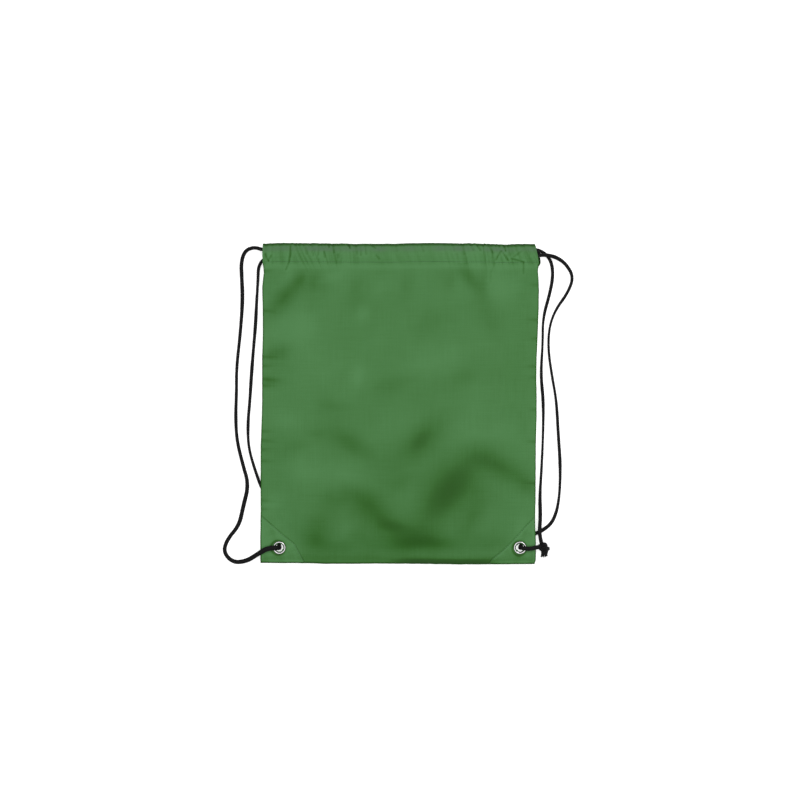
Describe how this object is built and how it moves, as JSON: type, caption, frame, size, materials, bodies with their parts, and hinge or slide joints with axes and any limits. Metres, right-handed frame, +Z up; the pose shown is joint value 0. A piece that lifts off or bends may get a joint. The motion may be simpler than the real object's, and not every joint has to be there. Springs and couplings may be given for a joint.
{
  "type": "drawstring backpack",
  "caption": "Flat drawstring backpack of green woven polyester: two sewn panels, cord casings at the mouth, corner patches with eyelets, and two black cords knotted at the bottom corners.",
  "frame": {"origin": "bottom centre of the box of the bag without its cords, on the surface that it lies on", "axes": "+X to the bag's right seen from above, +Y towards the mouth, +Z up through its thickness"},
  "size_m": [0.463, 0.4209, 0.0172],
  "materials": {
    "bag_cloth": "green woven polyester with a soft sheen",
    "patch_cloth": "green woven polyester, doubled",
    "seam_cloth": "green woven polyester, folded and sewn",
    "sewing_thread": "green polyester thread",
    "cord_braid": "black braided polypropylene cord",
    "eyelet_metal": "polished nickel-plated steel"
  },
  "bodies": {
    "back": {"back_panel": "bag_cloth", "back_casing": "bag_cloth", "back_casing_stitching": "sewing_thread", "left_side_seam": "seam_cloth", "right_side_seam": "seam_cloth", "bottom_seam": "seam_cloth", "left_front_patch": "patch_cloth", "right_front_patch": "patch_cloth", "left_back_patch": "patch_cloth", "right_back_patch": "patch_cloth", "left_patch_stitching": "sewing_thread", "right_patch_stitching": "sewing_thread", "left_eyelet": "eyelet_metal", "right_eyelet": "eyelet_metal", "left_eyelet_washer": "eyelet_metal", "right_eyelet_washer": "eyelet_metal", "left_cord_outer": "cord_braid", "left_cord_inner": "cord_braid", "right_cord_outer": "cord_braid", "right_cord_inner": "cord_braid", "left_knot": "cord_braid", "right_knot": "cord_braid"},
    "front": {"front_panel": "bag_cloth", "front_casing": "bag_cloth", "front_casing_stitching": "sewing_thread"},
    "left_cord_in_back_casing": {"left_cord_back_leg": "cord_braid", "left_cord_bight": "cord_braid"},
    "left_cord_in_front_casing": {"left_cord_front_leg": "cord_braid"},
    "right_cord_in_back_casing": {"right_cord_back_leg": "cord_braid", "right_cord_bight": "cord_braid"},
    "right_cord_in_front_casing": {"right_cord_front_leg": "cord_braid"}
  },
  "joints": [
    {"name": "mouth_open", "type": "hinge", "parent": "back", "child": "front", "pos_m": [0, -0.205, 0.0088], "axis": [1, 0, 0], "range_deg": [0, 8]},
    {"name": "left_cord_pull", "type": "slide", "parent": "back", "child": "left_cord_in_back_casing", "axis": [-1, 0, 0], "range_m": [0, 0.007], "deforming": ["left_cord_outer", "left_cord_inner"]},
    {"name": "left_cord_pull_front", "type": "slide", "parent": "front", "child": "left_cord_in_front_casing", "axis": [-1, 0, 0], "range_m": [0, 0.007]},
    {"name": "right_cord_pull", "type": "slide", "parent": "back", "child": "right_cord_in_back_casing", "axis": [1, 0, 0], "range_m": [0, 0.007], "deforming": ["right_cord_outer", "right_cord_inner"]},
    {"name": "right_cord_pull_front", "type": "slide", "parent": "front", "child": "right_cord_in_front_casing", "axis": [1, 0, 0], "range_m": [0, 0.007]}
  ],
  "couplings": [
    {"joint": "left_cord_pull_front", "follows": "left_cord_pull", "ratio": 1},
    {"joint": "right_cord_pull_front", "follows": "right_cord_pull", "ratio": 1}
  ]
}
